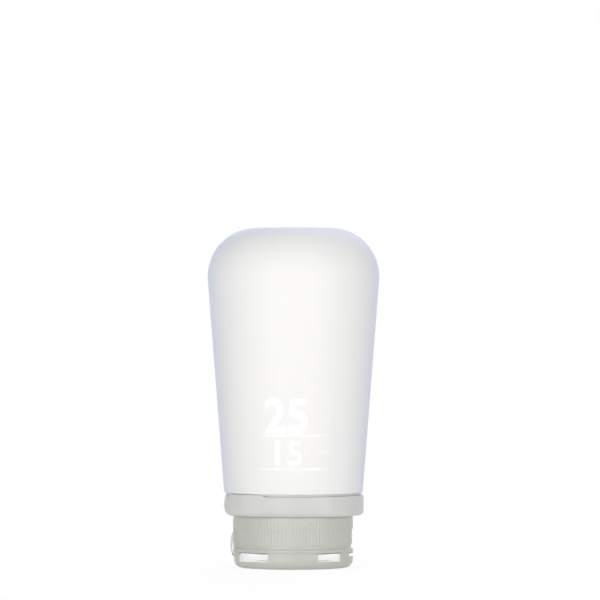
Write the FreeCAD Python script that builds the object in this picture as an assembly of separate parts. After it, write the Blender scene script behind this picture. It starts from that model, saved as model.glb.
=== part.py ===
import FreeCAD, Part
import math
import os

# A soft travel bottle that stands on its flip-top cap. Millimetres, +Z up, the origin in the
# middle of the lid's outer face. The hinge is on the -X side, the finger lip and the carry loop
# on the +X side and the front is -Y. Angles run from +X towards +Y.

# Heights, from the lid's outer face up
lid_height = 4.6
lid_gap = 0.15              # closed lid to cap
cap_gap = 0.3               # cap's rim to strap
strap_height = 6.2
strap_gap = 0.65            # groove between the strap and the tube's rim
tube_length = 80.95

# Radii, from the neck's bore out
neck_bore = 12.9
neck_wall = 2.3
thread_space = 1.1          # neck to cap, for the thread
skirt_wall = 1.9            # cap's wall with its ribs
hub_margin = 1.0            # collar's hub beyond the cap's lower grip
strap_depth = 2.0           # hub to the outside of the tube's rim
strap_proud = 0.1           # strap beyond the tube's rim
loop_proud = 0.3            # carry loop beyond the tube's rim

# Tube, soft silicone
tube_taper = 4.44           # degrees on each side
tube_wall = 3.0
base_wall = 3.0
base_round = 15.1           # outside corner of the base
rim_wall = 3.2              # round the collar's sleeve
rim_round = 0.4             # outer edge of the rim

# Collar: a sleeve in the tube's rim, a hub under the strap and the neck that the cap screws on
sleeve_depth = 7.0
sleeve_wall = 1.8
bead_depth = 0.5            # retaining bead on the sleeve
bead_height = 1.2
bead_rise = 3.4             # from the tube's rim
hub_wall = 1.6
hub_roof = 2.0
throat_height = 3.6         # cone from the bore out to the sleeve
neck_edge = 0.4             # rounded mouth of the neck

# Strap fixed on the collar, left and back
strap_widest = 3.4          # above its lower edge
strap_foot = 0.5            # flat at the lower edge
strap_top_inset = 0.6
strap_bulge = 45.0          # degrees along the bulge where its curve is fixed

# Carry loop, right
loop_clearance = 0.15       # to the hub
loop_half_angle = 68.0
loop_end_gap = 0.3          # to the fixed strap's ends
loop_lower_round = 1.4
loop_upper_round = 0.25

# Slide tab, front left
tab_start = -157.0
tab_arc = 38.0
tab_travel = 35.0
tab_thickness = 0.6
tab_edge = 0.2              # kept back from the strap's lower edge
tab_flat = 0.9              # straight part of its round ends
tab_clearance = 0.12
hook_arc = 24.0             # hook over the strap's upper edge
hook_thickness = 0.4
hook_tail = 1.0             # behind the strap

# Cap, from the lid up: finger flange, plain waist, two ribbed grips, shoulder and rim
flange_proud = 0.15         # beyond the lower grip
flange_height = 1.35
waist_inset = 0.25
waist_height = 1.1
grip_height = 4.7
crown_step = 0.3            # upper grip beyond the lower one
crown_height = 2.5
shoulder_height = 0.3
rim_inset = 0.05
rim_height = 1.0
cap_edge = 0.25             # rounded edges of flange and rim
deck_thickness = 1.6
rib_count = 110
rib_depth = 0.35
rib_land = 0.4              # share of the pitch that is crest
rib_seat = 0.05             # cap's plain wall below the ribs' roots
snap_wall = 0.95            # ring under the deck that centres the lid
snap_height = 0.65
snap_clearance = 0.25

# Spout, valve and retainer
spout_radius = 6.3
spout_draft = 0.2
spout_clearance = 1.0       # spout's tip to the lid's plate
spout_wall = 0.7            # round the valve
spout_lip = 0.8             # ledge that carries the valve
ledge_width = 1.4
valve_clearance = 0.05
valve_flange = 0.95
valve_skin = 0.5
valve_dish = 1.0
slit_length = 5.0
slit_width = 0.1
retainer_inset = 0.2        # its bore inside the outlet
retainer_brim = 1.0         # beyond the valve's bore
retainer_brim_height = 0.6
retainer_clearance = 0.02

# Gasket
gasket_thickness = 1.1
gasket_inset = 0.4          # its bore inside the neck's
gasket_clearance = 0.1
seal_gap = 0.05             # gasket to the neck's rim

# Lid
lid_round = 2.5
lid_wall = 1.7
lid_plate = 1.3
lid_inner_round = 1.0
seal_ring_clearance = 0.4   # round the spout
seal_ring_wall = 0.8
seal_ring_gap = 0.3         # short of the cap's deck
pintle_clearance = 0.8      # inside the outlet
pintle_taper = 1.0          # smaller at its tip
pintle_height = 1.0
catch_depth = 2.4
catch_half_angle = 16.0
catch_gap = 0.1             # short of the cap's centring ring
notch_half_angle = 14.0
notch_depth = 1.2
notch_height = 1.2

# Living hinge
hinge_width = 8.0
hinge_pad_margin = 0.4      # pad beyond the strap on each side
hinge_pad_low = 3.2         # above the cap's lower edge
hinge_pad_height = 3.0
hinge_bow = 0.95            # how far the strap bows out from the pad
hinge_foot = 0.5            # strap's thickness at its upper end
hinge_strap = 0.6           # strap's thickness at the bow
hinge_lid_reach = 0.9       # strap's end below the lid's rim
hinge_lid_drop = 0.3        # lid's pad below the strap's end
hinge_lid_gap = 0.05

overshoot = 1.0             # how far a cutting shape runs past what it cuts

# Radii that follow
neck_radius = neck_bore + neck_wall
skirt_radius = neck_radius + thread_space
grip_radius = skirt_radius + skirt_wall
flange_radius = grip_radius + flange_proud
waist_radius = grip_radius - waist_inset
crown_radius = grip_radius + crown_step
rim_radius = grip_radius - rim_inset
hub_radius = grip_radius + hub_margin
tube_rim_radius = hub_radius + strap_depth
strap_radius = tube_rim_radius + strap_proud
loop_radius = tube_rim_radius + loop_proud
sleeve_radius = tube_rim_radius - rim_wall
bead_radius = sleeve_radius + bead_depth
lid_radius = grip_radius
lid_inner_radius = lid_radius - lid_wall
snap_radius = lid_inner_radius - snap_clearance
hinge_face = flange_radius
valve_bore = spout_radius - spout_wall
outlet_radius = valve_bore - ledge_width
retainer_bore = outlet_radius - retainer_inset
seal_ring_bore = spout_radius + seal_ring_clearance
pintle_radius = outlet_radius - pintle_clearance

# Levels that follow
cap_low = lid_height + lid_gap
flange_top = cap_low + flange_height
grip_low = flange_top + waist_height
crown_low = grip_low + grip_height
crown_top = crown_low + crown_height
rim_low = crown_top + shoulder_height
cap_top = rim_low + rim_height
strap_low = cap_top + cap_gap
strap_top = strap_low + strap_height
tube_low = strap_top + strap_gap
tube_top = tube_low + tube_length
deck_top = cap_low + deck_thickness
gasket_top = deck_top + gasket_thickness
neck_low = gasket_top + seal_gap
throat_low = tube_low - hub_roof
sleeve_top = tube_low + sleeve_depth
bead_low = tube_low + bead_rise
bead_top = bead_low + bead_height
spout_tip = lid_plate + spout_clearance
ledge = spout_tip + spout_lip
hook_low = strap_top + tab_clearance
hook_top = hook_low + hook_thickness
hinge_pad_base = cap_low + hinge_pad_low
hinge_pad_top = hinge_pad_base + hinge_pad_height
hinge_end = lid_height - hinge_lid_reach

taper_slope = math.tan(math.radians(tube_taper))
tab_middle = tab_start + tab_arc / 2
full_turn = 360.0
origin = FreeCAD.Vector(0, 0, 0)
up = FreeCAD.Vector(0, 0, 1)


def at(radius, height):
    return FreeCAD.Vector(radius, 0, height)


def face_of(*edges):
    return Part.Face(Part.Wire([edge.toShape() for edge in edges]))


def outline(*points):
    corners = [at(*point) for point in points]
    return Part.Face(Part.makePolygon(corners + corners[:1]))


def turned(face, start=0.0, sweep=full_turn):
    solid = face.revolve(origin, up, sweep)
    return solid.rotate(origin, up, start)


def ring(inner, outer, low, high, start=0.0, sweep=full_turn):
    return turned(outline((inner, low), (outer, low), (outer, high), (inner, high)), start, sweep)


def rounded(shape, radius, *places):
    # Rounds the circular edges at the given radii and heights
    found = []
    for edge in shape.Edges:
        curve = edge.Curve
        if isinstance(curve, Part.Circle):
            here = at(curve.Radius, curve.Center.z)
            if any(here.isEqual(at(*place), 1e-4) for place in places):
                found.append(edge)
    return shape.makeFillet(radius, found)


def block(x_low, x_high, half_width, z_low, z_high):
    corner = FreeCAD.Vector(x_low, -half_width, z_low)
    return Part.makeBox(x_high - x_low, 2 * half_width, z_high - z_low, corner)


def tube_outside(height):
    return tube_rim_radius + (height - tube_low) * taper_slope


def tube_inside(height):
    return tube_outside(height) - tube_wall / math.cos(math.radians(tube_taper))


def sleeve_side():
    # The face that tube and collar share, with its retaining bead
    return [(sleeve_radius, tube_low), (sleeve_radius, bead_low), (bead_radius, bead_low),
            (bead_radius, bead_top), (sleeve_radius, bead_top), (sleeve_radius, sleeve_top)]


def make_tube_cavity():
    roof = tube_top - base_wall
    corner = (tube_inside(roof), roof)
    cavity = turned(outline((0, tube_low), *sleeve_side(), (tube_inside(sleeve_top), sleeve_top),
                            corner, (0, roof)))
    return rounded(cavity, base_round - base_wall, corner)


def make_tube_body():
    rim = (tube_rim_radius, tube_low)
    corner = (tube_outside(tube_top), tube_top)
    outside = turned(outline((0, tube_low), rim, corner, (0, tube_top)))
    outside = rounded(outside, base_round, corner)
    return rounded(outside, rim_round, rim).cut(make_tube_cavity())


def make_neck_collar():
    sleeve_bore = sleeve_radius - sleeve_wall
    hub_bore = hub_radius - hub_wall
    body = turned(outline((neck_bore, neck_low), (neck_radius, neck_low), (neck_radius, throat_low),
                          (hub_bore, throat_low), (hub_bore, strap_low), (hub_radius, strap_low),
                          (hub_radius, tube_low), *sleeve_side(), (sleeve_bore, sleeve_top),
                          (sleeve_bore, throat_low + throat_height), (neck_bore, throat_low)))
    body = rounded(body, neck_edge, (neck_radius, neck_low), (neck_bore, neck_low))
    # Channel for the tab's hook behind the strap, over the tab's travel
    slack = math.degrees(tab_clearance / hub_radius)
    channel = ring(hub_radius - hook_thickness - 2 * tab_clearance, hub_radius + overshoot,
                   strap_top - hook_tail - tab_clearance, tube_low,
                   tab_middle - hook_arc / 2 - slack, hook_arc + tab_travel + 2 * slack)
    return body.cut(channel)


def strap_face(inner, shift, drop=0.0, rise=0.0):
    # Section from an inner line out to the strap's bulged skin, moved out by shift, carried
    # straight down by drop and straight up by rise
    foot = at(hub_radius + strap_foot + shift, strap_low)
    bulge = at(strap_radius + shift, strap_low + strap_widest)
    top = at(strap_radius - strap_top_inset + shift, strap_top)
    turn = math.radians(strap_bulge)
    shoulder = at(foot.x + (bulge.x - foot.x) * math.sin(turn),
                  foot.z + strap_widest * (1 - math.cos(turn)))
    low, high = strap_low - drop, strap_top + rise
    edges = [Part.Arc(foot, shoulder, bulge), Part.LineSegment(bulge, top)]
    if rise:
        edges.append(Part.LineSegment(top, at(top.x, high)))
    edges.append(Part.LineSegment(at(top.x, high), at(inner, high)))
    edges.append(Part.LineSegment(at(inner, high), at(inner, low)))
    edges.append(Part.LineSegment(at(inner, low), at(foot.x, low)))
    if drop:
        edges.append(Part.LineSegment(at(foot.x, low), foot))
    return face_of(*edges)


def make_strap_band():
    start = loop_half_angle + math.degrees(loop_end_gap / loop_radius)
    return turned(strap_face(hub_radius, 0), start, full_turn - 2 * start)


def make_carry_loop():
    loop = ring(hub_radius + loop_clearance, loop_radius, strap_low, strap_top,
                -loop_half_angle, 2 * loop_half_angle)
    loop = rounded(loop, loop_lower_round, (loop_radius, strap_low))
    return rounded(loop, loop_upper_round, (loop_radius, strap_top))


def make_slide_tab():
    # A thin saddle on the strap's skin, with round ends and a hook over the strap's upper edge
    tab_low = strap_low + tab_edge
    skin = turned(strap_face(hub_radius, tab_clearance + tab_thickness, rise=hook_top - strap_top),
                  tab_start, tab_arc)
    skin = skin.common(ring(hub_radius, loop_radius + overshoot, tab_low, hook_top))
    corners = []
    for edge in skin.Edges:
        level = edge.BoundBox.ZLength < 1e-4
        if level and isinstance(edge.Curve, Part.Line):
            corners.append(edge)
    skin = skin.makeFillet((hook_top - tab_low - tab_flat) / 2, corners)
    saddle = skin.cut(turned(strap_face(hub_radius - overshoot, tab_clearance, overshoot, overshoot)))
    hook_start = tab_middle - hook_arc / 2
    tail_outer = hub_radius - tab_clearance
    tail_inner = tail_outer - hook_thickness
    lip_outer = strap_radius - strap_top_inset + tab_clearance + tab_thickness / 2
    lip = ring(tail_inner, lip_outer, hook_low, hook_top, hook_start, hook_arc)
    tail = ring(tail_inner, tail_outer, strap_top - hook_tail, hook_top, hook_start, hook_arc)
    return saddle.fuse([lip, tail]).removeSplitter()


def ribbed_ring(crest, low, high):
    # Upright V ribs with a flat crest, over a plain inner wall
    pitch = 2 * math.pi / rib_count
    root = crest - rib_depth
    points = []
    for rib in range(rib_count):
        for share, radius in ((0, crest), (rib_land, crest), ((1 + rib_land) / 2, root)):
            angle = (rib + share) * pitch
            points.append(FreeCAD.Vector(radius * math.cos(angle), radius * math.sin(angle), low))
    outer = Part.Face(Part.makePolygon(points + points[:1])).extrude(FreeCAD.Vector(0, 0, high - low))
    return outer.cut(Part.makeCylinder((skirt_radius + root) / 2, high - low, at(0, low)))


def make_cap_base():
    core = grip_radius - rib_depth - rib_seat
    crown_core = crown_radius - rib_depth - rib_seat
    snap_low = cap_low - snap_height
    body = turned(outline(
        (outlet_radius, spout_tip), (spout_radius - spout_draft, spout_tip), (spout_radius, cap_low),
        (snap_radius - snap_wall, cap_low), (snap_radius - snap_wall, snap_low),
        (snap_radius, snap_low), (snap_radius, cap_low),
        (flange_radius, cap_low), (flange_radius, flange_top), (waist_radius, flange_top),
        (waist_radius, grip_low), (core, grip_low), (core, crown_low), (crown_core, crown_low),
        (crown_core, crown_top), (crown_radius, crown_top), (crown_radius, rim_low),
        (rim_radius, rim_low), (rim_radius, cap_top), (skirt_radius, cap_top),
        (skirt_radius, deck_top), (valve_bore, deck_top), (valve_bore, ledge), (outlet_radius, ledge)))
    body = rounded(body, cap_edge, (flange_radius, cap_low), (flange_radius, flange_top),
                   (rim_radius, cap_top), (spout_radius - spout_draft, spout_tip))
    body = body.fuse([ribbed_ring(grip_radius, grip_low, crown_low),
                      ribbed_ring(crown_radius, crown_low, crown_top)])
    half = hinge_width / 2 + hinge_pad_margin
    clear = block(-crown_radius - overshoot, -waist_radius, half, cap_low - overshoot, hinge_pad_base)
    pad = block(-hinge_face, -(skirt_radius + core) / 2, half, hinge_pad_base, hinge_pad_top)
    return body.cut(clear).fuse(pad).removeSplitter()


def make_flip_lid():
    foot = lid_plate / 2            # inner features start within the plate
    shell = turned(outline((0, 0), (lid_radius, 0), (lid_radius, lid_height),
                           (lid_inner_radius, lid_height), (lid_inner_radius, lid_plate), (0, lid_plate)))
    shell = rounded(shell, lid_round, (lid_radius, 0))
    shell = rounded(shell, lid_inner_round, (lid_inner_radius, lid_plate))
    seal = ring(seal_ring_bore, seal_ring_bore + seal_ring_wall, foot, cap_low - seal_ring_gap)
    pintle = Part.makeCone(pintle_radius, pintle_radius - pintle_taper, foot + pintle_height, at(0, foot))
    catch = ring(lid_inner_radius - catch_depth, lid_inner_radius + lid_wall / 2, foot,
                 cap_low - snap_height - catch_gap, -catch_half_angle, 2 * catch_half_angle)
    pad = block(-hinge_face + hinge_lid_gap, -(lid_inner_radius + lid_radius) / 2,
                hinge_width / 2 + hinge_pad_margin, hinge_end - hinge_lid_drop, lid_height)
    notch = ring(lid_radius - notch_depth, lid_radius + overshoot, lid_height - notch_height,
                 lid_height + overshoot, -notch_half_angle, 2 * notch_half_angle)
    return shell.fuse([seal, pintle, catch, pad]).cut(notch).removeSplitter()


def make_lid_hinge_strap():
    bow = hinge_face + hinge_bow
    outer_top = at(-hinge_face - hinge_foot, hinge_pad_top)
    outer_end = at(-hinge_face - hinge_foot, hinge_end)
    inner_top = at(-hinge_face, hinge_pad_base)
    inner_end = at(-hinge_face, hinge_end)
    seat_top = at(-hinge_face, hinge_pad_top)
    outer_bow = at(-bow, (hinge_pad_top + hinge_end) / 2)
    inner_bow = at(-bow + hinge_strap, (hinge_pad_base + hinge_end) / 2)
    side = face_of(Part.Arc(outer_top, outer_bow, outer_end), Part.LineSegment(outer_end, inner_end),
                   Part.Arc(inner_end, inner_bow, inner_top), Part.LineSegment(inner_top, seat_top),
                   Part.LineSegment(seat_top, outer_top))
    strap = side.extrude(FreeCAD.Vector(0, hinge_width, 0))
    strap.translate(FreeCAD.Vector(0, -hinge_width / 2, 0))
    return strap


def dish_arc(level):
    # Upper or lower skin of the valve's dish, from the middle out to the outlet's edge
    sphere = (outlet_radius ** 2 + valve_dish ** 2) / (2 * valve_dish)
    half_way = outlet_radius / 2
    drop = sphere - math.sqrt(sphere ** 2 - half_way ** 2)
    return Part.Arc(at(0, level + valve_dish), at(half_way, level + valve_dish - drop),
                    at(outlet_radius, level))


def make_slit_valve():
    outer = valve_bore - valve_clearance
    skin = ledge + valve_skin
    top = ledge + valve_flange
    valve = turned(face_of(
        Part.LineSegment(at(0, ledge + valve_dish), at(0, skin + valve_dish)), dish_arc(skin),
        Part.LineSegment(at(outlet_radius, skin), at(outlet_radius, top)),
        Part.LineSegment(at(outlet_radius, top), at(outer, top)),
        Part.LineSegment(at(outer, top), at(outer, ledge)),
        Part.LineSegment(at(outer, ledge), at(outlet_radius, ledge)), dish_arc(ledge)))
    slit = block(-slit_length / 2, slit_length / 2, slit_width / 2, ledge, skin + valve_dish + overshoot)
    across = slit.copy().rotate(origin, up, full_turn / 4)
    return valve.cut([slit, across])


def make_valve_retainer():
    low = ledge + valve_flange
    barrel = valve_bore - retainer_clearance
    brim = valve_bore + retainer_brim
    brim_top = deck_top + retainer_brim_height
    return turned(outline((retainer_bore, low), (barrel, low), (barrel, deck_top), (brim, deck_top),
                          (brim, brim_top), (retainer_bore, brim_top)))


def make_cap_gasket():
    return ring(neck_bore - gasket_inset, skirt_radius - gasket_clearance, deck_top, gasket_top)


os.makedirs("parts", exist_ok=True)
nodes = {
    "tube_body": make_tube_body(),
    "neck_collar": make_neck_collar(),
    "strap_band": make_strap_band(),
    "carry_loop": make_carry_loop(),
    "slide_tab": make_slide_tab(),
    "cap_base": make_cap_base(),
    "flip_lid": make_flip_lid(),
    "lid_hinge_strap": make_lid_hinge_strap(),
    "slit_valve": make_slit_valve(),
    "valve_retainer": make_valve_retainer(),
    "cap_gasket": make_cap_gasket(),
}
for name, shape in nodes.items():
    shape.exportStep(f"parts/{name}.step")
    print(f"{name}: {len(shape.Solids)} solid, {shape.Volume / 1000:.2f} ml, valid {shape.isValid()}")
print(f"height {tube_top:.1f} mm, hollow inside {make_tube_cavity().Volume / 1000:.0f} ml less the sleeve")
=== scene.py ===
import math

import bmesh
import bpy
from mathutils import Matrix, Vector


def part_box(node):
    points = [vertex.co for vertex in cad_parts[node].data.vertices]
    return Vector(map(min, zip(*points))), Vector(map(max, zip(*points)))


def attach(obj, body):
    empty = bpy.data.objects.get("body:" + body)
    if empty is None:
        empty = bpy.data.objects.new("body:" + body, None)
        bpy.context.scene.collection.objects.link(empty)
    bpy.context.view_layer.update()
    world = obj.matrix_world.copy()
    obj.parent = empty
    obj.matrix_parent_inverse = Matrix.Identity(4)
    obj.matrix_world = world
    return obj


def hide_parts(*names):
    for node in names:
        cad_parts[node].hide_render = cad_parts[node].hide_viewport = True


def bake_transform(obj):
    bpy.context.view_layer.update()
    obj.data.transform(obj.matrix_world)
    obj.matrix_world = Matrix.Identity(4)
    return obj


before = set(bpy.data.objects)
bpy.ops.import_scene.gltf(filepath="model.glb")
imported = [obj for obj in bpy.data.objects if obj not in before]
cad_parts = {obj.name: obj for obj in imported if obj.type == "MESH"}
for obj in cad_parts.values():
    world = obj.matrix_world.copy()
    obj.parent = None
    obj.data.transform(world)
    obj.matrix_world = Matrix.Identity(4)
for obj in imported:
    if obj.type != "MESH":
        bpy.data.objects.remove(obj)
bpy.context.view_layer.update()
mm = 0.001
weld = 1e-7  # points closer than this are one
near = 1e-6  # how closely a point has to lie on a face to count as on it
sharpAngle = 35  # edges that turn by more than this stay crisp
edgeSteps = 3  # segments of a small rounding
noShift = (0, 0, 0)
upAxis = (0, 0, 1)


# Camera, straight on, about four fifths of the way up
cameraSetup = {"place": (0.002, -1.56, 0.0817), "lens": 306, "sensor": 36}


def makeCamera(setup):
    data = bpy.data.cameras.new("camera")
    data.lens = setup["lens"]
    data.sensor_width = setup["sensor"]
    camera = bpy.data.objects.new("camera", data)
    camera.location = setup["place"]
    camera.rotation_euler = (math.pi / 2, 0, 0)
    bpy.context.scene.collection.objects.link(camera)
    bpy.context.scene.camera = camera


makeCamera(cameraSetup)
print("camera is set")


# Mesh helpers
def roundCorner(bm, vert, radius, segments):
    first, second = [edge.other_vert(vert).co - vert.co for edge in vert.link_edges]
    reach = radius / math.tan(first.angle(second) / 2)  # from the corner to where the arc starts
    bmesh.ops.bevel(bm, geom=[vert], offset=reach, offset_type="ABSOLUTE", segments=segments,
                    profile=0.5, affect="VERTICES", material=-1)


def drawProfile(corners, closed=True):
    # corners are (radius, height) or (radius, height, rounding, segments)
    bm = bmesh.new()
    verts = [bm.verts.new((corner[0], 0, corner[1])) for corner in corners]
    for first, second in zip(verts, verts[1:] + verts[:1] if closed else verts[1:]):
        bm.edges.new((first, second))
    for vert, corner in zip(verts, corners):
        if len(corner) > 2:
            roundCorner(bm, vert, corner[2], corner[3])
    return bm


def cleanUp(bm, gap=weld):
    bmesh.ops.remove_doubles(bm, verts=bm.verts, dist=gap)
    bmesh.ops.recalc_face_normals(bm, faces=bm.faces)


def lathe(bm, steps, start=0.0, sweep=360.0):
    turn = Matrix.Rotation(math.radians(start), 3, "Z")
    bmesh.ops.rotate(bm, verts=bm.verts, cent=noShift, matrix=turn)
    whole = sweep == 360.0
    bmesh.ops.spin(bm, geom=bm.verts[:] + bm.edges[:], cent=noShift, axis=upAxis, dvec=noShift,
                   angle=math.radians(sweep), steps=steps, use_merge=whole)
    cleanUp(bm)
    return bm


def closeEnds(bm):
    bmesh.ops.holes_fill(bm, edges=[edge for edge in bm.edges if edge.is_boundary], sides=0)
    bmesh.ops.recalc_face_normals(bm, faces=bm.faces)


def boxMesh(low, high):
    bm = bmesh.new()
    size = Vector(high) - Vector(low)
    middle = (Vector(high) + Vector(low)) / 2
    bmesh.ops.create_cube(bm, size=1, matrix=Matrix.Translation(middle) @ Matrix.Diagonal((*size, 1)))
    return bm


def angleOf(place):
    return math.degrees(math.atan2(place.y, place.x))


def ringSector(inner, outer, low, high, start, sweep, name, material, stepAngle=2, fewest=4):
    bm = drawProfile([(inner, low), (outer, low), (outer, high), (inner, high)])
    lathe(bm, max(fewest, round(sweep / stepAngle)), start, sweep)
    closeEnds(bm)
    return makeObject(bm, name, material)


def makeObject(bm, name, *materials, sharp=sharpAngle):
    mesh = bpy.data.meshes.new(name)
    bm.to_mesh(mesh)
    bm.free()
    for material in materials:
        mesh.materials.append(material)
    shadeSmooth(mesh, sharp)
    piece = bpy.data.objects.new(name, mesh)
    bpy.context.scene.collection.objects.link(piece)
    return piece


def shadeSmooth(mesh, sharp):
    for polygon in mesh.polygons:
        polygon.use_smooth = True
    mesh.set_sharp_from_angle(angle=math.radians(sharp))


def dropSlivers(mesh, gap=2 * weld):
    # Faces with no area, left where a tool's edge meets an edge of the piece
    bm = bmesh.new()
    bm.from_mesh(mesh)
    bmesh.ops.remove_doubles(bm, verts=bm.verts, dist=gap)
    bmesh.ops.dissolve_degenerate(bm, edges=bm.edges, dist=gap)
    bm.to_mesh(mesh)
    bm.free()


def shapeWith(piece, *cuts, sharp=sharpAngle):
    # cuts are (operation, tool); the tools are used up
    for operation, tool in cuts:
        modifier = piece.modifiers.new("shape", "BOOLEAN")
        modifier.operation = operation
        modifier.object = tool
        modifier.solver = "EXACT"
        modifier.material_mode = "TRANSFER"
    shaped = piece.evaluated_get(bpy.context.evaluated_depsgraph_get())
    mesh = bpy.data.meshes.new_from_object(shaped)
    dropSlivers(mesh)
    piece.modifiers.clear()
    piece.data = mesh
    mesh.name = piece.name
    for operation, tool in cuts:
        bpy.data.objects.remove(tool)
    shadeSmooth(mesh, sharp)


def placePiece(piece, slotName, body, *nodes):
    if body:
        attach(piece, body)
    if nodes:
        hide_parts(*nodes)


def refinedCopy(node, name, material):
    bm = bmesh.new()
    bm.from_mesh(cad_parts[node].data)
    cleanUp(bm, near)
    return makeObject(bm, name, material)


# Shader group that the finishes share
def newGroup(name, inputs, outputs):
    group = bpy.data.node_groups.new(name, "ShaderNodeTree")
    for label, kind, value in inputs:
        socket = group.interface.new_socket(label, in_out="INPUT", socket_type=kind)
        socket.default_value = value
    for label, kind in outputs:
        group.interface.new_socket(label, in_out="OUTPUT", socket_type=kind)
    nodes = group.nodes
    return group, nodes, group.links, nodes.new("NodeGroupInput"), nodes.new("NodeGroupOutput")


def mathNode(nodes, links, operation, first, second):
    node = nodes.new("ShaderNodeMath")
    node.operation = operation
    for socket, value in zip(node.inputs, (first, second)):
        if isinstance(value, (int, float)):
            socket.default_value = value
        else:
            links.new(value, socket)
    return node.outputs[0]


def noiseNode(nodes, links, place, scale, detail):
    node = nodes.new("ShaderNodeTexNoise")
    node.inputs["Detail"].default_value = detail
    links.new(place, node.inputs["Vector"])
    links.new(scale, node.inputs["Scale"])
    return node.outputs["Fac"]


def makeMouldGrain():
    # Fine mould texture and slow clouds in the plastic
    inputs = [("Grain Scale", "NodeSocketFloat", 4000.0), ("Cloud Scale", "NodeSocketFloat", 90.0),
              ("Colour A", "NodeSocketColor", (0.9, 0.9, 0.9, 1)),
              ("Colour B", "NodeSocketColor", (0.8, 0.8, 0.8, 1)),
              ("Smooth", "NodeSocketFloat", 0.3), ("Rough", "NodeSocketFloat", 0.4)]
    outputs = [("Colour", "NodeSocketColor"), ("Roughness", "NodeSocketFloat"), ("Height", "NodeSocketFloat")]
    group, nodes, links, given, put = newGroup("mouldGrain", inputs, outputs)
    place = nodes.new("ShaderNodeTexCoord").outputs["Object"]
    grain = noiseNode(nodes, links, place, given.outputs["Grain Scale"], detail=2)
    cloud = noiseNode(nodes, links, place, given.outputs["Cloud Scale"], detail=4)
    colour = nodes.new("ShaderNodeMix")
    colour.data_type = "RGBA"
    links.new(cloud, colour.inputs["Factor"])
    links.new(given.outputs["Colour A"], colour.inputs[6])
    links.new(given.outputs["Colour B"], colour.inputs[7])
    links.new(colour.outputs[2], put.inputs["Colour"])
    spread = nodes.new("ShaderNodeMapRange")
    links.new(mathNode(nodes, links, "MULTIPLY", grain, cloud), spread.inputs["Value"])
    spread.inputs["From Max"].default_value = 0.5
    links.new(given.outputs["Smooth"], spread.inputs["To Min"])
    links.new(given.outputs["Rough"], spread.inputs["To Max"])
    links.new(spread.outputs["Result"], put.inputs["Roughness"])
    links.new(grain, put.inputs["Height"])
    return group


mouldGrain = makeMouldGrain()


def newFinish(name, values, bumpDistance, bumpStrength, **sockets):
    # A Principled surface with the grain behind its colour, roughness and relief
    material = bpy.data.materials.new(name)
    material.use_nodes = True
    nodes, links = material.node_tree.nodes, material.node_tree.links
    shader = nodes["Principled BSDF"]
    surface = nodes.new("ShaderNodeGroup")
    surface.node_tree = mouldGrain
    for label, value in values.items():
        surface.inputs[label].default_value = value
    relief = nodes.new("ShaderNodeBump")
    relief.inputs["Distance"].default_value = bumpDistance
    relief.inputs["Strength"].default_value = bumpStrength
    links.new(surface.outputs["Height"], relief.inputs["Height"])
    links.new(relief.outputs["Normal"], shader.inputs["Normal"])
    links.new(surface.outputs["Colour"], shader.inputs["Base Color"])
    links.new(surface.outputs["Roughness"], shader.inputs["Roughness"])
    for label, value in sockets.items():
        shader.inputs[label.replace("_", " ")].default_value = value
    return material


def addDepth(material, colour, density):
    # Light lost inside the wall
    nodes, links = material.node_tree.nodes, material.node_tree.links
    absorb = nodes.new("ShaderNodeVolumeAbsorption")
    absorb.inputs["Color"].default_value = (*colour, 1)
    absorb.inputs["Density"].default_value = density
    links.new(absorb.outputs["Volume"], nodes["Material Output"].inputs["Volume"])


frostedSilicone = newFinish(
    "frostedSilicone",
    {"Grain Scale": 5200, "Cloud Scale": 60, "Colour A": (0.99, 0.98, 0.952, 1),
     "Colour B": (0.975, 0.965, 0.935, 1), "Smooth": 0.44, "Rough": 0.54},
    bumpDistance=0.03 * mm, bumpStrength=0.15, Transmission_Weight=0.12, IOR=1.41,
    Sheen_Weight=1.0, Sheen_Roughness=0.5, Sheen_Tint=(0.68, 0.75, 1.0, 1))
addDepth(frostedSilicone, (0.4, 0.5, 0.76), 32)
polishedSilicone = newFinish(
    "polishedSilicone",
    {"Grain Scale": 2600, "Cloud Scale": 60, "Colour A": (1.0, 0.998, 0.99, 1),
     "Colour B": (0.99, 0.988, 0.98, 1), "Smooth": 0.16, "Rough": 0.24},
    bumpDistance=0.02 * mm, bumpStrength=0.05, Transmission_Weight=0.03, IOR=1.41)
addDepth(polishedSilicone, (0.4, 0.5, 0.76), 32)
naturalPlastic = newFinish(
    "naturalPlastic",
    {"Grain Scale": 3000, "Cloud Scale": 120, "Colour A": (0.8, 0.8, 0.79, 1),
     "Colour B": (0.74, 0.74, 0.735, 1), "Smooth": 0.3, "Rough": 0.42},
    bumpDistance=0.02 * mm, bumpStrength=0.1, Transmission_Weight=0.3, IOR=1.49)
addDepth(naturalPlastic, (0.6, 0.61, 0.62), 60)
strapRubber = newFinish(
    "strapRubber",
    {"Grain Scale": 4200, "Cloud Scale": 140, "Colour A": (0.71, 0.71, 0.698, 1),
     "Colour B": (0.66, 0.66, 0.648, 1), "Smooth": 0.4, "Rough": 0.5},
    bumpDistance=0.02 * mm, bumpStrength=0.15, Transmission_Weight=0.08, IOR=1.43)
capPlastic = newFinish(
    "capPlastic",
    {"Grain Scale": 2400, "Cloud Scale": 150, "Colour A": (0.635, 0.64, 0.587, 1),
     "Colour B": (0.592, 0.596, 0.546, 1), "Smooth": 0.26, "Rough": 0.36},
    bumpDistance=0.02 * mm, bumpStrength=0.08, Transmission_Weight=0.15, IOR=1.49)
milkyPlastic = newFinish(
    "milkyPlastic",
    {"Grain Scale": 2400, "Cloud Scale": 150, "Colour A": (0.82, 0.823, 0.795, 1),
     "Colour B": (0.77, 0.773, 0.745, 1), "Smooth": 0.24, "Rough": 0.34},
    bumpDistance=0.02 * mm, bumpStrength=0.08, Transmission_Weight=0.12, IOR=1.49)
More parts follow.
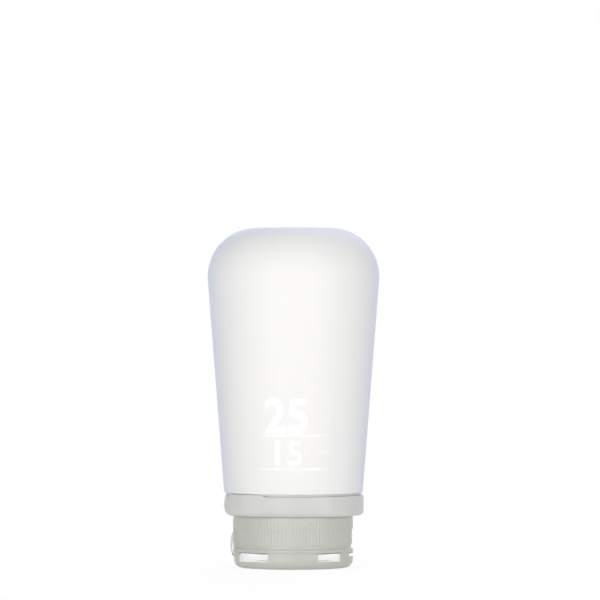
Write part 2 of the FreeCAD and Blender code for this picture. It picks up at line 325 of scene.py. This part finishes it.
clearPlastic = newFinish(
    "clearPlastic",
    {"Grain Scale": 1500, "Cloud Scale": 150, "Colour A": (1.0, 1.0, 1.0, 1),
     "Colour B": (0.985, 0.987, 0.985, 1), "Smooth": 0.03, "Rough": 0.07},
    bumpDistance=0.01 * mm, bumpStrength=0.05, Transmission_Weight=1.0, IOR=1.49)
addDepth(clearPlastic, (0.6, 0.61, 0.58), 35)
valveSilicone = newFinish(
    "valveSilicone",
    {"Grain Scale": 3000, "Cloud Scale": 200, "Colour A": (0.9, 0.9, 0.89, 1),
     "Colour B": (0.85, 0.855, 0.85, 1), "Smooth": 0.25, "Rough": 0.38},
    bumpDistance=0.01 * mm, bumpStrength=0.1, Transmission_Weight=0.4, IOR=1.41)
print("finishes are made")


# Soft tube, open at its rim, with moulded graduation marks on the front
tube = {
    "taper": 4.44, "wall": 3.0 * mm, "baseWall": 3.0 * mm, "baseRound": 15.1 * mm, "baseSteps": 28,
    "rimRadius": 21.2 * mm, "rimRound": 0.4 * mm, "rimSteps": 4, "steps": 192,
    "socketRadius": 18.05 * mm, "socketDepth": 7.05 * mm,
    "beadDepth": 0.5 * mm, "beadLow": 3.4 * mm, "beadHeight": 1.2 * mm,
}
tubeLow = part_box("tube_body")[0].z
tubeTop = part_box("tube_body")[1].z


def tubeRadius(height):
    return tube["rimRadius"] + (height - tubeLow) * math.tan(math.radians(tube["taper"]))


def socketSide(radius, top):
    # The face between tube and collar, with its retaining bead
    beadLow = tubeLow + tube["beadLow"]
    beadTop = beadLow + tube["beadHeight"]
    bead = radius + tube["beadDepth"]
    return [(radius, tubeLow), (radius, beadLow), (bead, beadLow), (bead, beadTop), (radius, beadTop),
            (radius, top)]


def makeTube():
    wall = tube["wall"] / math.cos(math.radians(tube["taper"]))
    roof = tubeTop - tube["baseWall"]
    ledge = tubeLow + tube["socketDepth"]
    steps = tube["baseSteps"]
    bm = drawProfile([
        (0, tubeTop), (tubeRadius(tubeTop), tubeTop, tube["baseRound"], steps),
        (tube["rimRadius"], tubeLow, tube["rimRound"], tube["rimSteps"]),
        *socketSide(tube["socketRadius"], ledge),
        (tubeRadius(ledge) - wall, ledge),
        (tubeRadius(roof) - wall, roof, tube["baseRound"] - tube["baseWall"], steps), (0, roof)], closed=False)
    return makeObject(lathe(bm, tube["steps"]), "silicone_tube", frostedSilicone)


marks = {
    "numbers": (("25", 40.6 * mm, 10.2 * mm), ("15", 30.4 * mm, 7.6 * mm)),  # text, level, height
    "lift": 1.4 * mm, "aside": -2.1 * mm, "ruleHalf": 11.0 * mm, "ruleWidth": 0.5 * mm,
    "ticks": (35.5 * mm, 45.2 * mm, 49.6 * mm), "tickWidth": 0.4 * mm, "tickFrom": 8.6 * mm,
    "proud": 0.16 * mm, "root": 0.3 * mm, "slice": 0.6 * mm,
    "capShare": 0.72, "bold": 0.03, "curveSteps": 6,  # figure's height in its font, thickening, smoothness
}


def wrapOnTube(bm):
    # Flat drawing (x across, y up, z out) onto the tube's front
    for vert in bm.verts:
        x, height, out = vert.co
        radius = tubeRadius(height) + out
        angle = x / tubeRadius(height) - math.pi / 2
        vert.co = (radius * math.cos(angle), radius * math.sin(angle), height)
    bmesh.ops.recalc_face_normals(bm, faces=bm.faces)


def textMesh(text, height):
    curve = bpy.data.curves.new("number", "FONT")
    curve.body = text
    curve.align_x = "CENTER"
    curve.size = height / marks["capShare"]
    curve.offset = height * marks["bold"]
    curve.resolution_u = marks["curveSteps"]
    writing = bpy.data.objects.new("number", curve)
    bpy.context.scene.collection.objects.link(writing)
    drawn = writing.evaluated_get(bpy.context.evaluated_depsgraph_get())
    mesh = bpy.data.meshes.new_from_object(drawn)
    bpy.data.objects.remove(writing)
    bm = bmesh.new()
    bm.from_mesh(mesh)
    return bm


def stripMesh(low, high):
    bm = bmesh.new()
    corners = ((low[0], low[1]), (high[0], low[1]), (high[0], high[1]), (low[0], high[1]))
    bm.faces.new([bm.verts.new((x, y, 0)) for x, y in corners])
    return bm


def raiseDrawing(bm, name):
    bmesh.ops.remove_doubles(bm, verts=bm.verts, dist=near)
    slices = int(marks["ruleHalf"] / marks["slice"]) + 1
    for step in range(-slices, slices + 1):  # cuts that let it curve round the tube
        bmesh.ops.bisect_plane(bm, geom=bm.verts[:] + bm.edges[:] + bm.faces[:], dist=weld,
                               plane_co=(step * marks["slice"], 0, 0), plane_no=(1, 0, 0))
    bmesh.ops.translate(bm, verts=bm.verts, vec=(0, 0, -marks["root"]))
    made = bmesh.ops.extrude_face_region(bm, geom=bm.faces[:])["geom"]
    moved = [item for item in made if isinstance(item, bmesh.types.BMVert)]
    bmesh.ops.translate(bm, verts=moved, vec=(0, 0, marks["root"] + marks["proud"]))
    wrapOnTube(bm)
    return makeObject(bm, name, polishedSilicone)


def makeMarks():
    tools = []
    half = marks["ruleHalf"]
    for text, level, height in marks["numbers"]:
        bm = textMesh(text, height)
        bmesh.ops.translate(bm, verts=bm.verts, vec=(marks["aside"], level + marks["lift"], 0))
        tools.append(raiseDrawing(bm, "number" + text))
        rule = stripMesh((-half, level), (half, level + marks["ruleWidth"]))
        tools.append(raiseDrawing(rule, "rule" + text))
    for level in marks["ticks"]:
        tick = stripMesh((marks["tickFrom"], level), (half, level + marks["tickWidth"]))
        tools.append(raiseDrawing(tick, "tick"))
    return tools


siliconeTube = makeTube()
shapeWith(siliconeTube, *[("UNION", tool) for tool in makeMarks()])
placePiece(siliconeTube, "silicone", "tube", "tube_body")
print("tube is made")


# Collar with the neck that the cap screws on
collar = {
    "neckBore": 12.9 * mm, "neckWall": 2.3 * mm, "throat": 3.6 * mm, "edge": 0.3 * mm, "steps": 144,
    "hubRadius": 19.2 * mm, "hubWall": 1.6 * mm, "hubRoof": 2.0 * mm, "hubLow": 16.0 * mm,
    "sleeveRadius": 18.0 * mm, "sleeveWall": 1.8 * mm,
    "lead": 6.0 * mm, "threadStart": 9.0 * mm, "threadTurns": 1.4,
    "threadDepth": 0.8 * mm, "threadWidth": 1.5 * mm,
    # A lip closes the groove between strap and tube
    "lipRadius": 20.8 * mm, "lipLow": 22.25 * mm, "lipGap": 0.03 * mm,
    # The tab's hook slides in this channel, cut into the collar and the lip's underside
    "channel": 18.56 * mm, "channelLow": 21.08 * mm, "channelTop": 22.52 * mm,
    "channelStart": -153.0, "channelSweep": 38.4,
}


def threadRidge(radius, out, width, low, lead, turns, steps, start=0.0):
    # A ridge that runs round and up, fading in and out at its ends; a negative out points inwards
    bm = bmesh.new()
    sink = -out / 3  # its root stands in the wall
    shape = [(radius + sink, -width / 2), (radius + out, -width / 6), (radius + out, width / 6),
             (radius + sink, width / 2)]
    ring = [bm.verts.new((r, 0, low + z)) for r, z in shape]
    bm.faces.new(ring)
    count = int(steps * turns)
    bmesh.ops.spin(bm, geom=bm.faces[:], cent=noShift, axis=upAxis, dvec=(0, 0, lead * turns / count),
                   angle=math.tau * turns, steps=count)
    fade = lead / 12
    high = low + lead * turns
    for vert in bm.verts:
        level = vert.co.z
        ends = max(0.0, min(1.0, (level - low) / fade, (high - level) / fade))
        across = Vector((vert.co.x, vert.co.y, 0))
        reach = across.length - radius
        if reach * out > 0:
            vert.co -= across.normalized() * (reach - sink) * (1 - ends)
    turn = Matrix.Rotation(math.radians(start), 3, "Z")
    bmesh.ops.rotate(bm, verts=bm.verts, cent=noShift, matrix=turn)
    cleanUp(bm)
    return bm


def makeCollar():
    low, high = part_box("neck_collar")[0].z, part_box("neck_collar")[1].z
    neck = collar["neckBore"] + collar["neckWall"]
    throat = tubeLow - collar["hubRoof"]
    hubBore = collar["hubRadius"] - collar["hubWall"]
    sleeveBore = collar["sleeveRadius"] - collar["sleeveWall"]
    lipTop = tubeLow - collar["lipGap"]
    edge = (collar["edge"], edgeSteps)
    bm = drawProfile([
        (collar["neckBore"], low, *edge), (neck, low, *edge), (neck, throat), (hubBore, throat),
        (hubBore, collar["hubLow"]), (collar["hubRadius"], collar["hubLow"], *edge),
        (collar["hubRadius"], collar["lipLow"]), (collar["lipRadius"], collar["lipLow"]),
        (collar["lipRadius"], lipTop), (collar["sleeveRadius"], lipTop),
        *socketSide(collar["sleeveRadius"], high), (sleeveBore, high, *edge),
        (sleeveBore, throat + collar["throat"]), (collar["neckBore"], throat)])
    piece = makeObject(lathe(bm, collar["steps"]), "neck_and_collar", naturalPlastic)
    ridge = threadRidge(neck, collar["threadDepth"], collar["threadWidth"], collar["threadStart"], collar["lead"],
                        collar["threadTurns"], collar["steps"])
    thread = makeObject(ridge, "thread", naturalPlastic)
    channel = ringSector(collar["channel"], collar["lipRadius"] + mm, collar["channelLow"], collar["channelTop"],
                         collar["channelStart"], collar["channelSweep"], "channel", naturalPlastic)
    shapeWith(piece, ("UNION", thread), ("DIFFERENCE", channel))
    placePiece(piece, "collar", "tube", "neck_collar")


makeCollar()
print("collar is made")


# Elastic strap: fixed round the left and back, and the carry loop on the right, made as one piece
strap = {
    "hubRadius": 19.25 * mm, "topEdge": 0.3 * mm, "stepAngle": 2,
    "loopBore": 19.35 * mm, "loopRadius": 21.5 * mm, "loopEdge": 1.4 * mm, "loopEdgeSteps": 8,
    # Radius and rise of the foot, shoulder, bulge and top of the fixed part
    "skin": ((19.75 * mm, 0.0), (20.95 * mm, 0.75 * mm), (21.3 * mm, 3.4 * mm), (20.85 * mm, 6.2 * mm)),
    "shoulderRound": 2.0 * mm, "shoulderSteps": 5, "bulgeRound": 3.0 * mm, "bulgeSteps": 2,
    # Half angle of the loop, where the fixed part begins, and the edges that bridge the two
    "loopHalf": 58, "bandFrom": 78, "bridgeOver": 4 * mm, "bridgeCuts": 9,
    "bendFrom": 8 * mm, "bendTo": 19 * mm,
}
strapLow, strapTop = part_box("strap_band")[0].z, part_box("strap_band")[1].z


def strapSkin(shift):
    # Outer side of the fixed strap from its lower to its upper edge, moved out by shift
    foot, shoulder, bulge, top = [(radius + shift, strapLow + rise) for radius, rise in strap["skin"]]
    return [foot, (*shoulder, strap["shoulderRound"], strap["shoulderSteps"]),
            (*bulge, strap["bulgeRound"], strap["bulgeSteps"]), top]


def makeStrap():
    bulge = strapLow + strap["skin"][2][1]
    top = (strap["topEdge"], edgeSteps)
    loopSteps = 2 * strap["loopHalf"] // strap["stepAngle"]
    bandSweep = 360 - 2 * strap["bandFrom"]
    loop = drawProfile([
        (strap["loopBore"], strapLow),
        (strap["loopRadius"], strapLow, strap["loopEdge"], strap["loopEdgeSteps"]),
        (strap["loopRadius"], bulge), (strap["loopRadius"], strapTop, *top), (strap["loopBore"], strapTop)])
    lathe(loop, loopSteps, -strap["loopHalf"], 2 * strap["loopHalf"])
    *skin, rim = strapSkin(0)
    band = drawProfile([(strap["hubRadius"], strapLow), *skin, (*rim, *top), (strap["hubRadius"], strapTop)])
    lathe(band, bandSweep // strap["stepAngle"], strap["bandFrom"], bandSweep)
    mesh = bpy.data.meshes.new("band")
    band.to_mesh(mesh)
    band.free()
    loop.from_mesh(mesh)
    ends = [edge for edge in loop.edges if edge.is_boundary]
    front = [edge for edge in ends if edge.verts[0].co.y < 0]
    back = [edge for edge in ends if edge.verts[0].co.y > 0]
    for side in (front, back):
        bmesh.ops.bridge_loops(loop, edges=side)
    bridged = [edge for edge in loop.edges if edge.calc_length() > strap["bridgeOver"]]
    bmesh.ops.subdivide_edges(loop, edges=bridged, cuts=strap["bridgeCuts"], use_grid_fill=True)
    cleanUp(loop)
    piece = makeObject(loop, "elastic_strap", strapRubber)
    placePiece(piece, "strap", None, "strap_band", "carry_loop")
    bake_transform(piece)


makeStrap()


# Thumb tab: round at its left end, running out thin on the strap at its right, with a small hook over the strap
tab = {
    "start": -153.5, "arc": 38.0, "steps": 60, "gap": 0.12 * mm, "thick": 0.62 * mm, "sharp": 50,
    "low": 0.2 * mm, "high": 0.52 * mm, "footRound": 2.8 * mm, "headRound": 0.8 * mm, "edge": 0.25 * mm,
    # Shares of the arc from which it thins and its top comes down, and by how much
    "thinFrom": 0.4, "thinTo": 0.04, "dropFrom": 0.65, "dropBy": 0.22 * mm,
    "hookStart": -152.5, "hookArc": 2.4, "hookRadius": 19.08 * mm, "hookThick": 0.4 * mm,
    "hookGap": 0.05 * mm, "hookWeb": 0.2 * mm,
    "tailLength": 1.0 * mm, "tailInset": 0.1, "tailStep": 0.01 * mm,  # the tail stays inside the hook's web
}


def smoothStep(share):
    share = max(0.0, min(1.0, share))
    return share * share * (3 - 2 * share)


def skinLine():
    bm = drawProfile(strapSkin(0), closed=False)
    line = sorted((vert.co.z, vert.co.x) for vert in bm.verts)
    bm.free()
    return line


def skinRadius(line, height):
    for (low, first), (high, second) in zip(line, line[1:]):
        if height <= high:
            return first + (second - first) * max(0.0, (height - low) / (high - low))
    return line[-1][1]


def makeTab():
    low, high = strapLow + tab["low"], strapTop + tab["high"]
    edge = (tab["edge"], edgeSteps)
    (footIn, _), *innerSkin = strapSkin(tab["gap"])
    (footOut, _), *outerSkin = strapSkin(tab["gap"] + tab["thick"])
    lean = tab["low"] * (strap["skin"][1][0] - strap["skin"][0][0]) / strap["skin"][1][1]
    topIn, topOut = innerSkin[-1][0], outerSkin[-1][0]
    bm = drawProfile([
        (footIn + lean, low), (footOut + lean, low, *edge), *outerSkin, (topOut, high, *edge), (topIn, high),
        *reversed(innerSkin)])
    lathe(bm, tab["steps"], tab["start"], tab["arc"])
    closeEnds(bm)
    line = skinLine()
    bulge = strapLow + strap["skin"][2][1]
    for vert in bm.verts:
        angle = angleOf(vert.co)
        radius, z = vert.co.xy.length, vert.co.z
        share = (angle - tab["start"]) / tab["arc"]
        corner, depth = (tab["footRound"], low - z) if z < bulge else (tab["headRound"], z - high)
        over = min(corner, max(0.0, depth + corner))
        angle += math.degrees((corner - math.sqrt(corner ** 2 - over ** 2)) / radius) * (1 - share)
        thin = smoothStep((share - tab["thinFrom"]) / (1 - tab["thinFrom"]))
        skin = skinRadius(line, z)
        radius = skin + (radius - skin) * (1 - thin * (1 - tab["thinTo"]))
        rise = max(0.0, z - bulge) / (high - bulge)
        drop = rise * tab["dropBy"] * smoothStep((share - tab["dropFrom"]) / (1 - tab["dropFrom"]))
        turn = math.radians(angle)
        vert.co = (radius * math.cos(turn), radius * math.sin(turn), z - drop)
    bmesh.ops.recalc_face_normals(bm, faces=bm.faces)
    piece = makeObject(bm, "thumb_tab", strapRubber, sharp=tab["sharp"])
    inner = tab["hookRadius"] - tab["hookThick"]
    hookLow = strapTop + tab["hookGap"]
    hookTop = hookLow + tab["hookWeb"]
    web = ringSector(inner, topIn + tab["thick"] / 2, hookLow, hookTop, tab["hookStart"], tab["hookArc"],
                     "web", strapRubber)
    tail = ringSector(inner, tab["hookRadius"], strapTop - tab["tailLength"], hookTop - tab["tailStep"],
                      tab["hookStart"] + tab["tailInset"], tab["hookArc"] - 2 * tab["tailInset"],
                      "tail", strapRubber)
    shapeWith(piece, ("UNION", web), ("UNION", tail), sharp=tab["sharp"])
    placePiece(piece, "tab", "tab", "slide_tab")


makeTab()
print("strap and tab are made")


# Screw cap with two rows of grip ribs, spout and hinge pad
cap = {
    # Outer radii and heights, from the lid up
    "flange": 18.35 * mm, "flangeHeight": 1.15 * mm, "waist": 17.95 * mm, "waistHeight": 1.1 * mm,
    "grip": 18.2 * mm, "gripHeight": 4.7 * mm, "crown": 18.5 * mm, "crownHeight": 2.5 * mm,
    "shoulder": 1.5 * mm, "rim": 18.15 * mm, "rimRise": 0.26 * mm,
    "edge": 0.25 * mm, "rimEdge": 0.08 * mm, "lipEdge": 0.04 * mm, "lipSteps": 2,
    "ribs": 110, "ribDepth": 0.11 * mm, "ribShape": (0.0, 0.0, 0.5, 1.0, 0.5),  # depth at each step of a rib
    "neckSkirt": 16.3 * mm, "deck": 1.4 * mm, "snap": 16.25 * mm, "snapWall": 0.95 * mm, "snapHeight": 0.4 * mm,
    "spout": 6.3 * mm, "spoutTip": 6.1 * mm, "spoutLength": 2.65 * mm, "outlet": 4.2 * mm,
    "valveBore": 5.6 * mm, "valveLedge": 0.8 * mm,
    "padHalf": 4.4 * mm, "padHeight": 6.95 * mm, "lipHalf": 17, "lipDrop": 0.5 * mm, "lipWall": 0.6 * mm,
    "thumbPress": 0.3 * mm, "thumbHalf": 34, "thumbFade": 16,
    "threadStart": 7.6 * mm, "threadTurns": 1.2, "threadTurn": -264,
    "threadDepth": -0.55 * mm, "threadWidth": 1.2 * mm,
}
capLow = 4.95 * mm  # where cap and lid part
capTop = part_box("cap_base")[1].z + cap["rimRise"]


def makeCap():
    flangeTop = capLow + cap["flangeHeight"]
    gripLow = flangeTop + cap["waistHeight"]
    crownLow = gripLow + cap["gripHeight"]
    crownTop = crownLow + cap["crownHeight"]
    rimLow = crownTop + cap["shoulder"]
    deckTop = capLow + cap["deck"]
    tip = capLow - cap["spoutLength"]
    ledge = tip + cap["valveLedge"]
    snapIn = cap["snap"] - cap["snapWall"]
    snapLow = capLow - cap["snapHeight"]
    edge = (cap["edge"], edgeSteps)
    lipEdge = (cap["lipEdge"], cap["lipSteps"])
    bm = drawProfile([
        (cap["outlet"], tip, *edge), (cap["spoutTip"], tip, *edge), (cap["spout"], capLow), (snapIn, capLow),
        (snapIn, snapLow), (cap["snap"], snapLow), (cap["snap"], capLow),
        (cap["flange"], capLow, *lipEdge), (cap["flange"], flangeTop, *edge), (cap["waist"], flangeTop),
        (cap["waist"], gripLow), (cap["grip"], gripLow), (cap["grip"], crownLow), (cap["crown"], crownLow),
        (cap["crown"], crownTop), (cap["crown"], rimLow, cap["rimEdge"], cap["lipSteps"]),
        (cap["rim"], rimLow), (cap["rim"], capTop, *lipEdge),
        (cap["neckSkirt"], capTop, *edge), (cap["neckSkirt"], deckTop), (cap["valveBore"], deckTop),
        (cap["valveBore"], ledge), (cap["outlet"], ledge)])
    # One rib's slice, with its groove pressed in, goes round to make the whole cap
    pitch = 360 / cap["ribs"]
    ribSteps = len(cap["ribShape"])
    lathe(bm, ribSteps, 0, pitch)
    for vert in bm.verts:
        radius = math.hypot(vert.co.x, vert.co.y)
        onGrip = abs(radius - cap["grip"]) < near and gripLow - near < vert.co.z < crownLow + near
        onCrown = abs(radius - cap["crown"]) < near and crownLow - near < vert.co.z < crownTop + near
        if onGrip or onCrown:
            column = round(angleOf(vert.co) / pitch * ribSteps)
            press = cap["ribDepth"] * cap["ribShape"][column % ribSteps]
            vert.co.xy *= (radius - press) / radius
    bmesh.ops.spin(bm, geom=bm.verts[:] + bm.edges[:] + bm.faces[:], cent=noShift, axis=upAxis, dvec=noShift,
                   angle=math.tau, steps=cap["ribs"], use_duplicate=True)
    cleanUp(bm, 2 * near)
    for vert in bm.verts:  # a flat for the thumb, above the lid's notch
        radius = math.hypot(vert.co.x, vert.co.y)
        if radius > cap["waist"] - cap["ribDepth"] and vert.co.z > flangeTop + near:
            around = abs(angleOf(vert.co))
            press = cap["thumbPress"] * smoothStep((cap["thumbHalf"] - around) / cap["thumbFade"])
            vert.co.xy *= (radius - press) / radius
    piece = makeObject(bm, "ribbed_cap", capPlastic)
    half = cap["padHalf"]
    pad = boxMesh((-cap["flange"], -half, capLow), (-cap["grip"] + mm, half, capLow + cap["padHeight"]))
    thread = threadRidge(cap["neckSkirt"], cap["threadDepth"], cap["threadWidth"], cap["threadStart"],
                         collar["lead"], cap["threadTurns"], collar["steps"], cap["threadTurn"])
    lip = ringSector(cap["flange"] - cap["lipWall"], cap["flange"] - cap["lipEdge"], capLow - cap["lipDrop"],
                     capLow + cap["lipDrop"], -cap["lipHalf"], 2 * cap["lipHalf"], "lip", capPlastic)
    shapeWith(piece, ("UNION", makeObject(pad, "pad", capPlastic)),
              ("UNION", makeObject(thread, "thread", capPlastic)), ("UNION", lip))
    placePiece(piece, "cap", "cap", "cap_base")


makeCap()
print("cap is made")


# Flip lid with clear windows in its wall
lid = {
    "radius": 18.2 * mm, "height": 4.93 * mm, "wall": 1.2 * mm, "plate": 1.3 * mm, "steps": 240,
    "round": 2.5 * mm, "roundSteps": 10, "innerRound": 1.0 * mm, "innerSteps": 5,
    "edge": 0.25 * mm, "lipEdge": 0.04 * mm, "lipSteps": 2,
    "hold": 0.08 * mm,  # rings this far from the roundings keep the walls between them plain
    "sealRadius": 7.5 * mm, "sealWall": 0.8 * mm, "sealTop": 4.45 * mm,
    "pintle": 3.4 * mm, "pintleTip": 2.4 * mm, "pintleTop": 2.3 * mm,
    "catchDepth": 1.8 * mm, "catchHalf": 16, "catchTop": 4.0 * mm,
    "notchHalf": 20, "notchDepth": 0.9 * mm, "notchHeight": 1.15 * mm, "padFace": 18.3 * mm, "padLow": 3.4 * mm,
    # Clear parts of the wall, from one angle to another above a sill; those at the back are larger
    "windows": ((-154.5, -115.5, 1.95 * mm), (-66, -39, 1.95 * mm),
                (27, 66, 0.7 * mm), (115.5, 172.5, 0.7 * mm)),
    "spare": 6,  # the inner face is clear this much further, where light bends
}


def makeLid():
    edge = (lid["edge"], edgeSteps)
    inner = lid["radius"] - lid["wall"]
    sealBore = lid["sealRadius"] - lid["sealWall"]
    hold = lid["hold"]
    bm = drawProfile([
        (0, 0), (lid["radius"], 0, lid["round"], lid["roundSteps"]), (lid["radius"], lid["round"] + hold),
        (lid["radius"], lid["height"] - lid["lipEdge"] - hold),
        (lid["radius"], lid["height"], lid["lipEdge"], lid["lipSteps"]),
        (inner, lid["height"], *edge), (inner, lid["height"] - lid["edge"] - hold),
        (inner, lid["plate"] + lid["innerRound"] + hold),
        (inner, lid["plate"], lid["innerRound"], lid["innerSteps"]),
        (inner - lid["innerRound"] - hold, lid["plate"]), (lid["sealRadius"], lid["plate"]),
        (lid["sealRadius"], lid["sealTop"], *edge), (sealBore, lid["sealTop"], *edge), (sealBore, lid["plate"]),
        (lid["pintle"], lid["plate"]), (lid["pintleTip"], lid["pintleTop"], *edge), (0, lid["pintleTop"])],
        closed=False)
    piece = makeObject(lathe(bm, lid["steps"]), "flip_lid_shell", capPlastic, milkyPlastic, clearPlastic)
    catch = ringSector(inner - lid["catchDepth"], inner + lid["wall"] / 2, lid["plate"] / 2, lid["catchTop"],
                       -lid["catchHalf"], 2 * lid["catchHalf"], "catch", milkyPlastic)
    notch = ringSector(lid["radius"] - lid["notchDepth"], lid["radius"] + mm, lid["height"] - lid["notchHeight"],
                       lid["height"] + mm, -lid["notchHalf"], 2 * lid["notchHalf"], "notch", clearPlastic)
    pad = boxMesh((-lid["padFace"], -cap["padHalf"], lid["padLow"]),
                  (-lid["radius"] + lid["wall"] / 2, cap["padHalf"], lid["height"]))
    shapeWith(piece, ("UNION", catch), ("UNION", makeObject(pad, "pad", capPlastic)), ("DIFFERENCE", notch))
    for polygon in piece.data.polygons:  # 0 is the cap's plastic, 1 milky, 2 clear
        radius, height = polygon.center.xy.length, polygon.center.z
        around = angleOf(polygon.center)
        inside = radius < inner + lid["edge"]
        spare = lid["spare"] if inside else 0
        onSeal = radius < lid["sealRadius"] + lid["edge"]
        if onSeal and height > lid["plate"]:
            polygon.material_index = 1
        for first, last, sill in lid["windows"]:
            inWindow = first - spare < around < last + spare and height > (lid["plate"] if inside else sill)
            if inWindow and not onSeal:
                polygon.material_index = 2
    placePiece(piece, "lid", "lid", "flip_lid")


makeLid()
print("lid is made")


# Living hinge, bowed out between cap and lid
hinge = {
    "width": 8.0 * mm, "face": 18.35 * mm, "foot": 0.15 * mm, "seat": 7.95 * mm,
    "outerBow": 0.8 * mm, "innerBow": 0.48 * mm, "cuts": 23, "edge": 0.12 * mm, "edgeSteps": 2,
    "bendFrom": 6.4 * mm, "bendTo": 4.4 * mm,
}


def uprightEdges(bm):
    return [edge for edge in bm.edges if abs(edge.verts[0].co.z - edge.verts[1].co.z) > mm]


def makeHinge():
    low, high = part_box("lid_hinge_strap")[0].z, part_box("lid_hinge_strap")[1].z
    half = hinge["width"] / 2
    bm = boxMesh((-hinge["face"] - hinge["foot"], -half, low), (-hinge["face"], half, high))
    bmesh.ops.bevel(bm, geom=uprightEdges(bm), offset=hinge["edge"], offset_type="OFFSET",
                    segments=hinge["edgeSteps"], profile=0.5, affect="EDGES", material=-1)
    bmesh.ops.subdivide_edges(bm, edges=uprightEdges(bm), cuts=hinge["cuts"])
    middle = -hinge["face"] - hinge["foot"] / 2
    for vert in bm.verts:
        outside = vert.co.x < middle
        top = high if outside else hinge["seat"]
        share = (2 * vert.co.z - low - top) / (top - low)
        bow = hinge["outerBow"] if outside else hinge["innerBow"]
        vert.co.x -= bow * max(0.0, 1 - share * share)
    cleanUp(bm)
    piece = makeObject(bm, "living_hinge", milkyPlastic)
    placePiece(piece, "cap", None, "lid_hinge_strap")
    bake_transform(piece)


makeHinge()
print("hinge is made")


# Inner pieces
for node, name, material, slotName, body in (
        ("slit_valve", "no_drip_valve", valveSilicone, "valve", "cap"),
        ("valve_retainer", "retaining_ring", naturalPlastic, "collar", "cap"),
        ("cap_gasket", "flat_gasket", valveSilicone, "valve", "gasket")):
    placePiece(refinedCopy(node, name, material), slotName, body, node)
print("inner pieces are made")


# Floor, lights and background
studio = {
    "floorSize": 0.34, "floorCells": 8, "floorBack": 0.12,
    "floorColour": (0.95, 0.95, 0.95), "floorRoughness": 0.8,
    # The floor's share over what is behind it, and a glow that makes it as white as the background
    "floorOpacity": 0.2, "floorGlow": 0.34,
    # Name, place, size and power of each lamp; the last shines up through the floor
    "lights": (
        ("key", (-0.57, -1.22, 0.14), 0.9, 6.4), ("fill", (0.67, -1.16, 0.12), 0.9, 5.35),
        ("back", (0.35, 1.0, 0.85), 0.9, 2.5), ("rear", (0, 1.3, 0.1), 0.9, 4.5),
        ("top", (0, 0.05, 1.35), 0.9, 0.8), ("under", (0, -0.8, -0.45), 0.8, 1.2)),
    "hidden": "rear",  # clear plastic shows the background there, not the lamp
    "aim": (0, 0, 0.05), "ambient": 0.46,
}


def makeFloor():
    bm = bmesh.new()
    cells = studio["floorCells"]
    bmesh.ops.create_grid(bm, x_segments=cells, y_segments=cells, size=studio["floorSize"])
    bmesh.ops.translate(bm, verts=bm.verts, vec=(0, studio["floorBack"], 0))
    material = bpy.data.materials.new("paleFloor")
    material.use_nodes = True
    nodes, links = material.node_tree.nodes, material.node_tree.links
    shader = nodes["Principled BSDF"]
    shader.inputs["Base Color"].default_value = (*studio["floorColour"], 1)
    shader.inputs["Roughness"].default_value = studio["floorRoughness"]
    shader.inputs["Specular IOR Level"].default_value = 0
    clear = nodes.new("ShaderNodeBsdfTransparent")
    mix = nodes.new("ShaderNodeMixShader")
    side = nodes.new("ShaderNodeNewGeometry")
    path = nodes.new("ShaderNodeLightPath")
    seen = mathNode(nodes, links, "MAXIMUM", path.outputs["Is Camera Ray"], path.outputs["Is Glossy Ray"])
    shader.inputs["Emission Color"].default_value = (1, 1, 1, 1)
    links.new(mathNode(nodes, links, "MULTIPLY", seen, studio["floorGlow"]), shader.inputs["Emission Strength"])
    # Clear to transmission and shadow rays and from below, and mostly clear to the camera
    part = mathNode(nodes, links, "MULTIPLY", path.outputs["Is Camera Ray"], 1 - studio["floorOpacity"])
    part = mathNode(nodes, links, "MAXIMUM", part, path.outputs["Is Transmission Ray"])
    part = mathNode(nodes, links, "MAXIMUM", part, path.outputs["Is Shadow Ray"])
    links.new(mathNode(nodes, links, "MAXIMUM", part, side.outputs["Backfacing"]), mix.inputs[0])
    links.new(shader.outputs[0], mix.inputs[1])
    links.new(clear.outputs[0], mix.inputs[2])
    links.new(mix.outputs[0], nodes["Material Output"].inputs["Surface"])
    makeObject(bm, "floor", material)


def makeLights():
    for name, place, size, power in studio["lights"]:
        data = bpy.data.lights.new(name, "AREA")
        data.shape = "DISK"
        data.size = size
        data.energy = power
        lamp = bpy.data.objects.new(name, data)
        lamp.location = place
        lamp.visible_transmission = name != studio["hidden"]
        aim = Vector(studio["aim"]) - Vector(place)
        lamp.rotation_euler = aim.to_track_quat("-Z", "Y").to_euler()
        bpy.context.scene.collection.objects.link(lamp)


def makeBackground():
    world = bpy.data.worlds.new("studio")
    world.use_nodes = True
    bpy.context.scene.world = world
    nodes, links = world.node_tree.nodes, world.node_tree.links
    back = nodes["Background"]
    back.inputs["Color"].default_value = (1, 1, 1, 1)
    path = nodes.new("ShaderNodeLightPath")
    seen = mathNode(nodes, links, "MAXIMUM", path.outputs["Is Camera Ray"], path.outputs["Is Glossy Ray"])
    seen = mathNode(nodes, links, "MAXIMUM", seen, path.outputs["Is Transmission Ray"])
    links.new(mathNode(nodes, links, "MAXIMUM", seen, studio["ambient"]), back.inputs["Strength"])


makeFloor()
makeLights()
makeBackground()
bpy.context.scene.view_settings.view_transform = "Standard"
print("studio is set")
